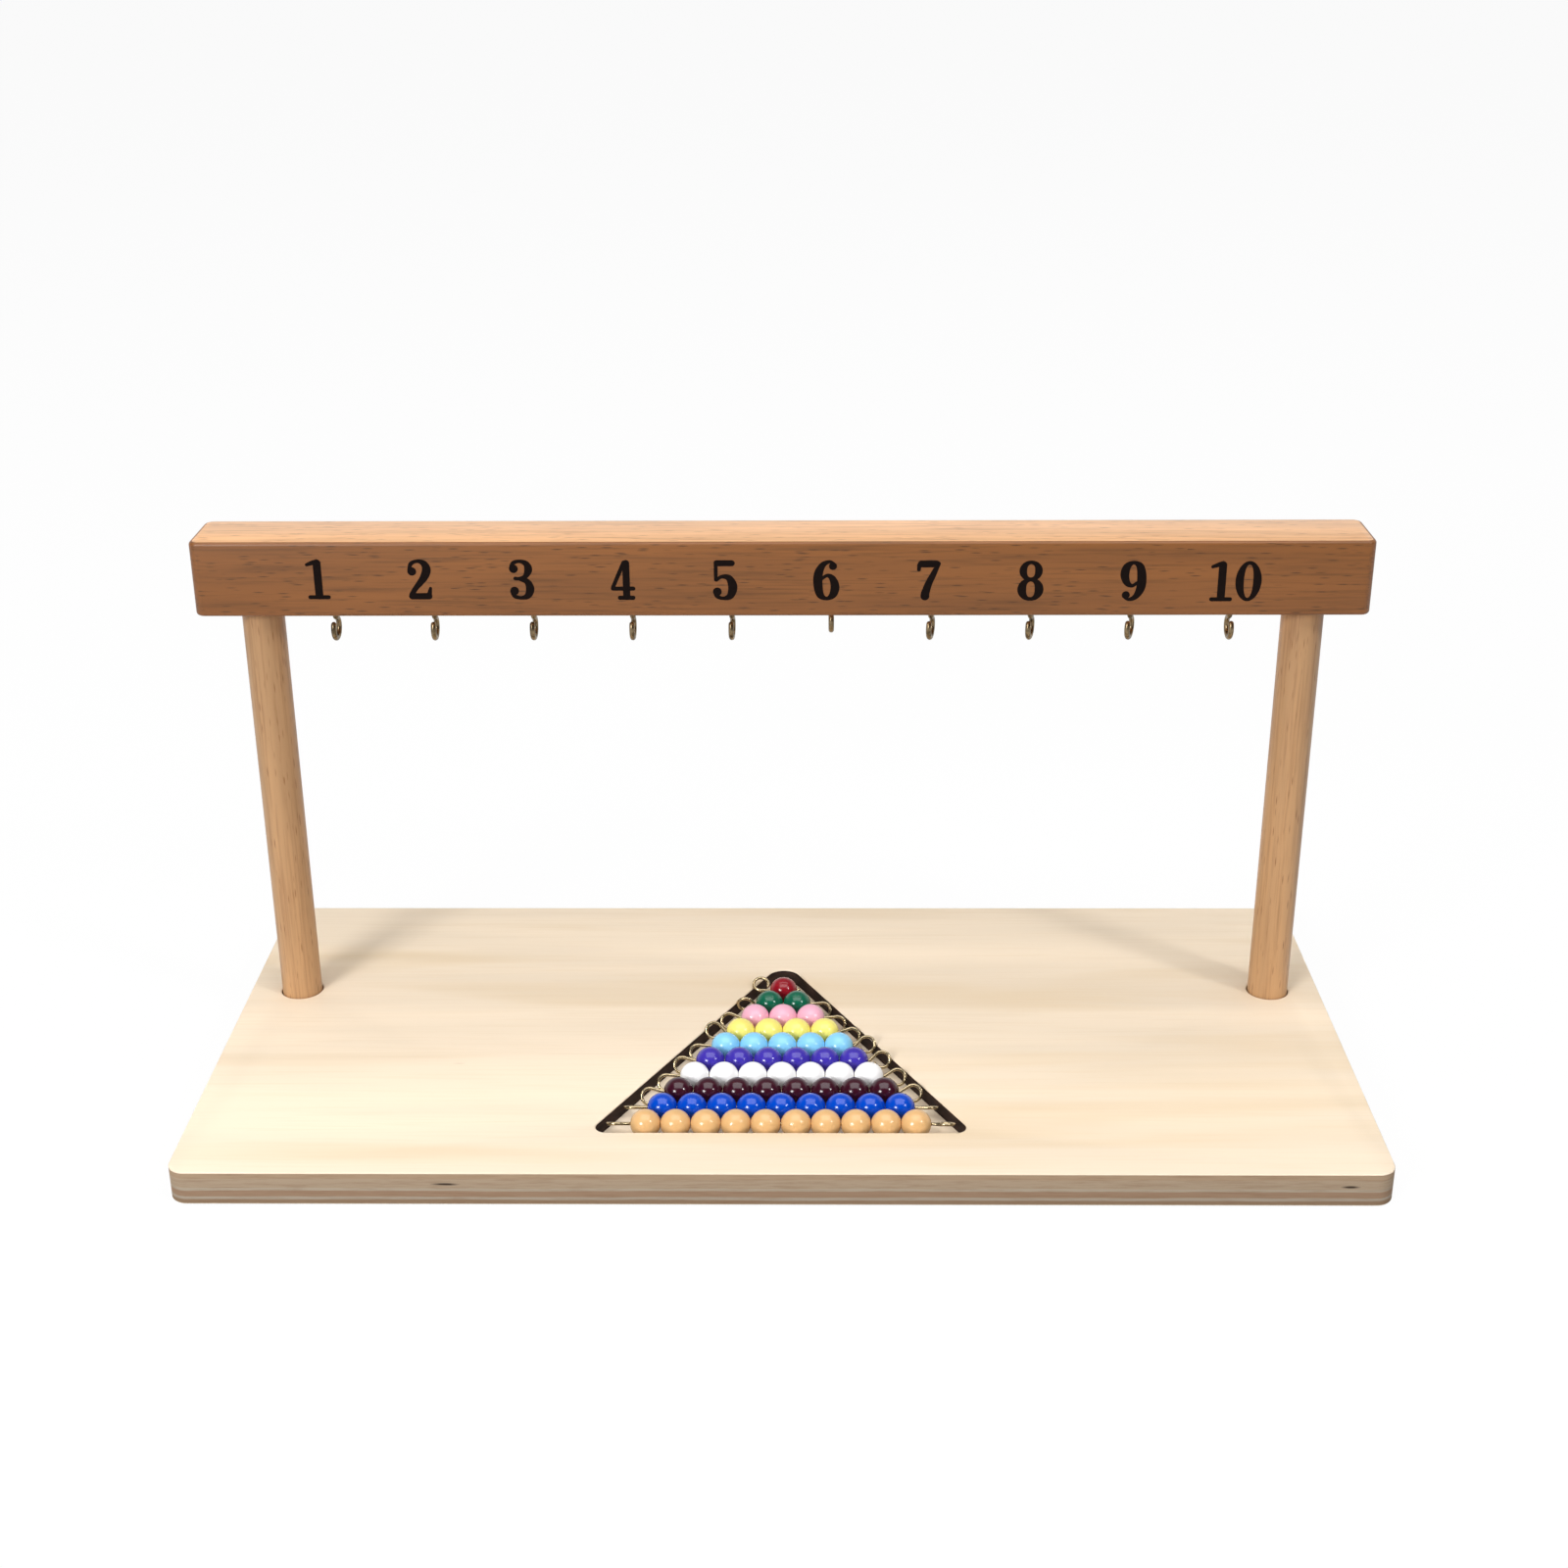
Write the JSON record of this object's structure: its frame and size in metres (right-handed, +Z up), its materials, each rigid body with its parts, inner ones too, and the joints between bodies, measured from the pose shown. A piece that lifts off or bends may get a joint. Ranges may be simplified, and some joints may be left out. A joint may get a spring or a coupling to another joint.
{
  "type": "bead rack",
  "caption": "Wooden counting rack: loose coloured bead bars lie in a triangular tray of a plywood base, under a beam of open hooks on two round posts.",
  "frame": {"origin": "middle of the base's underside, on the surface that the rack stands on", "axes": "+X along the beam to the right as seen from the front, +Y to the back, +Z up"},
  "size_m": [0.3184, 0.1516, 0.1508],
  "materials": {
    "plywood": "satin",
    "beech": "satin",
    "hook_bronze": "satin",
    "bar_wire": "polished",
    "screw_steel": "satin",
    "bead_red": "gloss",
    "bead_green": "gloss",
    "bead_pink": "gloss",
    "bead_yellow": "gloss",
    "bead_sky_blue": "gloss",
    "bead_violet": "gloss",
    "bead_white": "gloss",
    "bead_brown": "gloss",
    "bead_blue": "gloss",
    "bead_gold": "gloss"
  },
  "bodies": {
    "rack_frame": {"base_bottom_panel": "plywood", "base_top_panel": "plywood", "left_post": "beech", "right_post": "beech", "left_post_screw": "screw_steel", "right_post_screw": "screw_steel", "hook_beam": "beech", "hook_1": "hook_bronze", "hook_2": "hook_bronze", "hook_3": "hook_bronze", "hook_4": "hook_bronze", "hook_5": "hook_bronze", "hook_6": "hook_bronze", "hook_7": "hook_bronze", "hook_8": "hook_bronze", "hook_9": "hook_bronze", "hook_10": "hook_bronze"},
    "bar_1": {"bar_1_wire": "bar_wire"},
    "bar_2": {"bar_2_wire": "bar_wire"},
    "bar_3": {"bar_3_wire": "bar_wire"},
    "bar_4": {"bar_4_wire": "bar_wire"},
    "bar_5": {"bar_5_wire": "bar_wire"},
    "bar_6": {"bar_6_wire": "bar_wire"},
    "bar_7": {"bar_7_wire": "bar_wire"},
    "bar_8": {"bar_8_wire": "bar_wire"},
    "bar_9": {"bar_9_wire": "bar_wire"},
    "bar_10": {"bar_10_wire": "bar_wire"},
    "strand_1": {"bar_1_beads": "bead_red"},
    "strand_2": {"bar_2_beads": "bead_green"},
    "strand_3": {"bar_3_beads": "bead_pink"},
    "strand_4": {"bar_4_beads": "bead_yellow"},
    "strand_5": {"bar_5_beads": "bead_sky_blue"},
    "strand_6": {"bar_6_beads": "bead_violet"},
    "strand_7": {"bar_7_beads": "bead_white"},
    "strand_8": {"bar_8_beads": "bead_brown"},
    "strand_9": {"bar_9_beads": "bead_blue"},
    "strand_10": {"bar_10_beads": "bead_gold"}
  },
  "joints": [
    {"name": "bar_1_lift", "type": "slide", "parent": "rack_frame", "child": "bar_1", "axis": [0, 0, 1], "range_m": [0, 0.1]},
    {"name": "bar_2_lift", "type": "slide", "parent": "rack_frame", "child": "bar_2", "axis": [0, 0, 1], "range_m": [0, 0.1]},
    {"name": "bar_3_lift", "type": "slide", "parent": "rack_frame", "child": "bar_3", "axis": [0, 0, 1], "range_m": [0, 0.1]},
    {"name": "bar_4_lift", "type": "slide", "parent": "rack_frame", "child": "bar_4", "axis": [0, 0, 1], "range_m": [0, 0.1]},
    {"name": "bar_5_lift", "type": "slide", "parent": "rack_frame", "child": "bar_5", "axis": [0, 0, 1], "range_m": [0, 0.1]},
    {"name": "bar_6_lift", "type": "slide", "parent": "rack_frame", "child": "bar_6", "axis": [0, 0, 1], "range_m": [0, 0.1]},
    {"name": "bar_7_lift", "type": "slide", "parent": "rack_frame", "child": "bar_7", "axis": [0, 0, 1], "range_m": [0, 0.1]},
    {"name": "bar_8_lift", "type": "slide", "parent": "rack_frame", "child": "bar_8", "axis": [0, 0, 1], "range_m": [0, 0.1]},
    {"name": "bar_9_lift", "type": "slide", "parent": "rack_frame", "child": "bar_9", "axis": [0, 0, 1], "range_m": [0, 0.1]},
    {"name": "bar_10_lift", "type": "slide", "parent": "rack_frame", "child": "bar_10", "axis": [0, 0, 1], "range_m": [0, 0.1]},
    {"name": "bar_1_spin", "type": "hinge", "parent": "bar_1", "child": "strand_1", "pos_m": [0, 0.0213, 0.00955], "axis": [1, 0, 0], "continuous": true},
    {"name": "bar_2_spin", "type": "hinge", "parent": "bar_2", "child": "strand_2", "pos_m": [0, 0.01315, 0.00955], "axis": [1, 0, 0], "continuous": true},
    {"name": "bar_3_spin", "type": "hinge", "parent": "bar_3", "child": "strand_3", "pos_m": [0, 0.005, 0.00955], "axis": [1, 0, 0], "continuous": true},
    {"name": "bar_4_spin", "type": "hinge", "parent": "bar_4", "child": "strand_4", "pos_m": [0, -0.00315, 0.00955], "axis": [1, 0, 0], "continuous": true},
    {"name": "bar_5_spin", "type": "hinge", "parent": "bar_5", "child": "strand_5", "pos_m": [0, -0.0113, 0.00955], "axis": [1, 0, 0], "continuous": true},
    {"name": "bar_6_spin", "type": "hinge", "parent": "bar_6", "child": "strand_6", "pos_m": [0, -0.01945, 0.00955], "axis": [1, 0, 0], "continuous": true},
    {"name": "bar_7_spin", "type": "hinge", "parent": "bar_7", "child": "strand_7", "pos_m": [0, -0.0276, 0.00955], "axis": [1, 0, 0], "continuous": true},
    {"name": "bar_8_spin", "type": "hinge", "parent": "bar_8", "child": "strand_8", "pos_m": [0, -0.03575, 0.00955], "axis": [1, 0, 0], "continuous": true},
    {"name": "bar_9_spin", "type": "hinge", "parent": "bar_9", "child": "strand_9", "pos_m": [0, -0.0439, 0.00955], "axis": [1, 0, 0], "continuous": true},
    {"name": "bar_10_spin", "type": "hinge", "parent": "bar_10", "child": "strand_10", "pos_m": [0, -0.05205, 0.00955], "axis": [1, 0, 0], "continuous": true}
  ]
}
